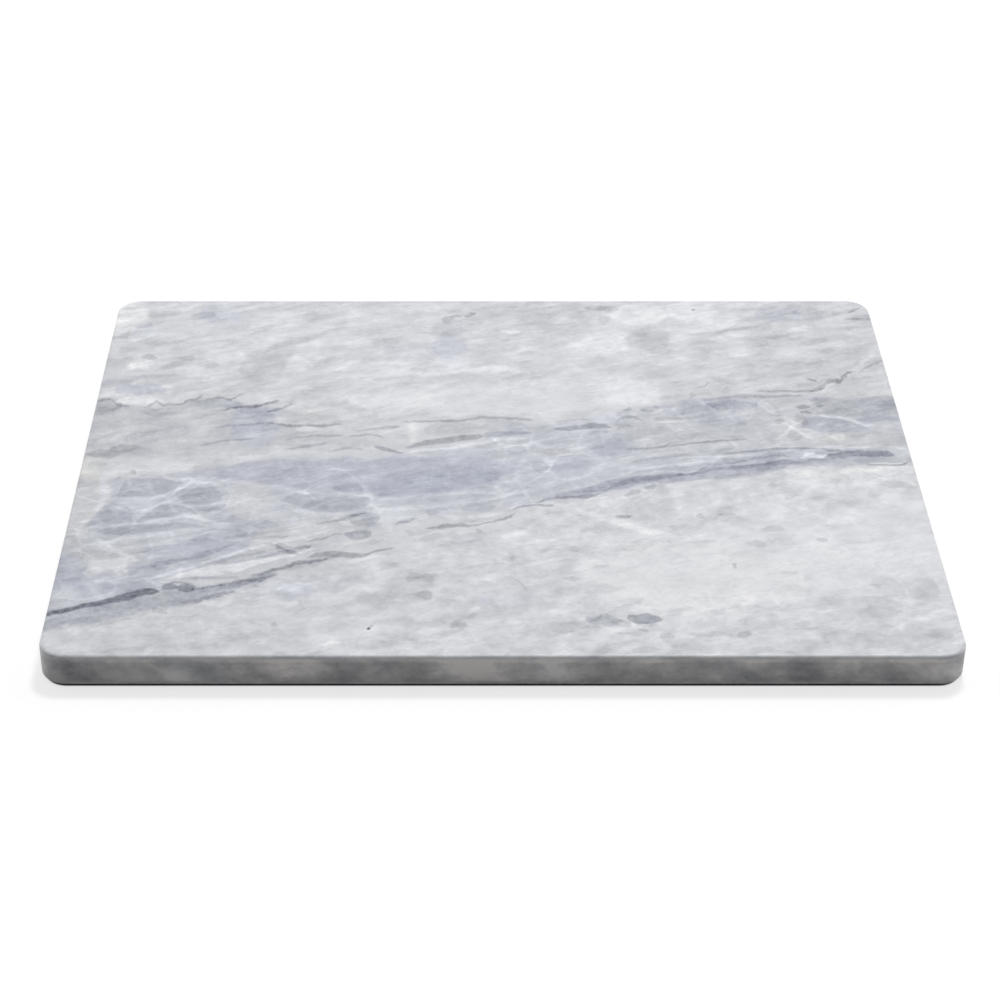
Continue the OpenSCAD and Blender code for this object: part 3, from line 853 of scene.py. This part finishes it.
warmed = put(stone, "Mix", {"Factor": warmth, 6: blued, 7: warm_tint},
             data_type="RGBA", blend_type="MULTIPLY").outputs[2]


def ranged(level, start, end, low, high, tree=stone):
    """Goes from low to high while the level goes from start to end."""
    return put(tree, "MapRange", {0: level, 1: start, 2: end, 3: low, 4: high}).outputs[0]


# Honing left the harder grains a little smoother, a faint waviness and here and there a pin hole,
# whose floor and rim are given in parts of the spacing.
sheen = between(0.37, 0.53, noise(place, size=9, detail=3))
waves = noise(place, size=2.5, detail=3)
wave_height = 0.12
hole_spacing = 11
hole_floor = 0.018
hole_rim = 0.045
holes = put(stone, "TexVoronoi", {"Vector": place, "Scale": 1 / hole_spacing}).outputs
hole = ranged(holes["Distance"], hole_floor, hole_rim, low=-1, high=0)
relief = reckon("MULTIPLY_ADD", waves, wave_height, hole)


def surface(tree, colour, roughness, gloss, relief, depth, strength, ior=1.5):
    """Ends a finish with its surface, which has a relief of up to the depth in millimetres."""
    bump = put(tree, "Bump", {"Strength": strength, "Distance": depth / MILLIMETRES, "Height": relief})
    skin = put(tree, "BsdfPrincipled", {"Base Color": colour, "Roughness": roughness, "IOR": ior,
                                        "Specular IOR Level": gloss, "Normal": bump.outputs[0]})
    put(tree, "OutputMaterial", {0: skin.outputs[0]})


surface(stone, warmed, sheen, gloss=0.4, relief=relief, depth=0.15, strength=0.5)
slab.material_slots[0].material = marble

# Rubber feet
# Four round feet, moulded from matt dark grey rubber, one under each corner of the slab. The mould
# left a fine grain on them, and handling has rubbed pale dust into it.
rubber, mould, place = new_finish("moulded_rubber")


def two_tones(tree, level, dark, pale, start=0, end=1):
    """A colour that goes from dark to pale while the level goes from start to end."""
    tones = put(tree, "ValToRGB", {0: level})
    first, last = tones.color_ramp.elements
    first.position = start
    last.position = end
    first.color = shade(*dark)
    last.color = shade(*pale)
    return tones.outputs["Color"]


worn = noise(place, size=3.5, detail=3, tree=mould)
rubber_tones = two_tones(mould, worn, (50, 50, 53), (72, 72, 75), start=0.35, end=0.7)
mould_grain = noise(place, size=0.35, tree=mould)
dull = ranged(worn, start=0.3, end=0.7, low=0.68, high=0.85, tree=mould)
surface(mould, rubber_tones, dull, gloss=0.35, relief=mould_grain, depth=0.04, strength=0.6, ior=1.52)
corners = ("front_left", "front_right", "back_left", "back_right")
for corner_name in corners:
    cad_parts["foot_" + corner_name].material_slots[0].material = rubber

# Adhesive discs
# Thin discs of white closed-cell foam, sticky on both faces, die-cut a little smaller than the feet
# and pressed between each foot and the stone.
foam, cells, place = new_finish("sticky_foam")
bubble_size = 0.3
bubbles = put(cells, "TexVoronoi", {"Vector": place, "Scale": 1 / bubble_size}).outputs["Distance"]
foam_tones = two_tones(cells, bubbles, (205, 203, 196), (236, 235, 230))
surface(cells, foam_tones, roughness=0.9, gloss=0.3, relief=bubbles, depth=0.05, strength=0.7)
for corner_name in corners:
    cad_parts["adhesive_" + corner_name].material_slots[0].material = foam

# Floor
# A pale counter under the board. The camera sees it as a white sheet that glows by itself and
# still takes the board's shadow. What lights the board's sides is a plain grey counter.
floor_reach = 12
floor_mesh = bmesh.new()
bmesh.ops.create_grid(floor_mesh, x_segments=1, y_segments=1, size=floor_reach)
floor_data = bpy.data.meshes.new("floor")
floor_mesh.to_mesh(floor_data)
floor_mesh.free()
floor = bpy.data.objects.new("floor", floor_data)
bpy.context.scene.collection.objects.link(floor)
sheet, paper, place = new_finish("white_sheet")


def by_eye(tree):
    """1 where the camera sees a surface itself or in a reflection, and 0 where it only gives light."""
    path = put(tree, "LightPath").outputs
    looked_at = reckon("MAXIMUM", path["Is Camera Ray"], path["Is Glossy Ray"], tree=tree)
    return reckon("MAXIMUM", looked_at, path["Is Transmission Ray"], tree=tree)


# The glow stops a little inside the board's outline, which paints shade under the board, is weaker beside
# the board, where the board's shadow falls, and is full where no shadow falls. It goes by how far a point
# lies beyond the middles of the rounded corners.
dark_inset = 2.6
glow_inset = 1.6
shadow_start = 20
shadow_end = 150
corner_middle = (half_length - corner_radius, half_width - corner_radius, 0)
aside = put(paper, "VectorMath", {0: place}, operation="ABSOLUTE").outputs[0]
aside = put(paper, "VectorMath", {0: aside, 1: corner_middle}, operation="SUBTRACT").outputs[0]
aside = put(paper, "VectorMath", {0: aside, 1: (0, 0, 0)}, operation="MAXIMUM").outputs[0]
beyond = put(paper, "VectorMath", {0: aside}, operation="LENGTH").outputs["Value"]
# Painted shade: the glow is taken away under the board and weakened beside it.
near_glow = ranged(beyond, corner_radius - dark_inset, corner_radius - glow_inset, low=0, high=0.74,
                   tree=paper)
far_glow = ranged(beyond, corner_radius + shadow_start, corner_radius + shadow_end, low=0, high=0.5,
                  tree=paper)
glow = reckon("ADD", near_glow, far_glow, tree=paper)
sheet_grey = 0.3
counter_grey = 0.57
glowing = put(paper, "Emission", {"Strength": glow})
shadowed = put(paper, "BsdfDiffuse", {"Color": (sheet_grey, sheet_grey, sheet_grey, 1)})
sheet_seen = put(paper, "AddShader", {0: glowing.outputs[0], 1: shadowed.outputs[0]})
counter = put(paper, "BsdfDiffuse", {"Color": (counter_grey, counter_grey, counter_grey, 1)})
both = put(paper, "MixShader", {0: by_eye(paper), 1: counter.outputs[0], 2: sheet_seen.outputs[0]})
put(paper, "OutputMaterial", {0: both.outputs[0]})
floor_data.materials.append(sheet)

# Light
# A soft studio: a lamp high behind the board, wide ones overhead and at the sides, and a grey room
# that the camera sees as white. The front face is turned away from the lamps and lies in shade.


def hang_lamp(name, where, aim, width, height, brightness):
    """A flat lamp, as bright as given all over, at a place in metres and turned towards another."""
    lamp = bpy.data.lights.new(name, "AREA")
    lamp.shape = "RECTANGLE"
    lamp.size = width
    lamp.size_y = height
    lamp.energy = brightness * math.pi * width * height
    holder = bpy.data.objects.new(name, lamp)
    bpy.context.scene.collection.objects.link(holder)
    holder.location = where
    way = Vector(aim) - Vector(where)
    holder.rotation_euler = way.to_track_quat("-Z", "Y").to_euler()


board_middle = (0, 0, 0.02)
hang_lamp("lamp_behind", (0.42, 1.1, 2.76), board_middle, width=0.55, height=0.55, brightness=59)
hang_lamp("lamp_overhead", (0, 0.75, 2), (0, 0.75, 0), width=3, height=1.9, brightness=0.7)
for side, x in (("left", -2), ("right", 2)):
    hang_lamp("lamp_" + side, (x, 0.75, 0.7), (0, 0.75, 0.1), width=1.8, height=1, brightness=1.6)

room = bpy.data.worlds.new("room")
bpy.context.scene.world = room
room.use_nodes = True
room.node_tree.nodes.clear()
walls = room.node_tree
grey_walls = put(walls, "Background", {"Color": (1, 1, 1, 1), "Strength": 0.1})
white_walls = put(walls, "Background", {"Color": (1, 1, 1, 1), "Strength": 1})
both = put(walls, "MixShader", {0: by_eye(walls), 1: grey_walls.outputs[0], 2: white_walls.outputs[0]})
put(walls, "OutputWorld", {0: both.outputs[0]})
bpy.context.scene.view_settings.view_transform = "Standard"

# Camera
# It stands in front of the board, a little left of its middle, and looks down on it.
camera_data = bpy.data.cameras.new("camera")
camera_data.lens = 88.55
camera_data.sensor_width = 36
camera_data.shift_x = 0.0454
camera = bpy.data.objects.new("camera", camera_data)
camera.location = (-0.0263, -1.2771, 0.82)
looks_down = 32.99
camera.rotation_euler = (math.radians(90 - looks_down), 0, 0)
bpy.context.scene.collection.objects.link(camera)
bpy.context.scene.camera = camera
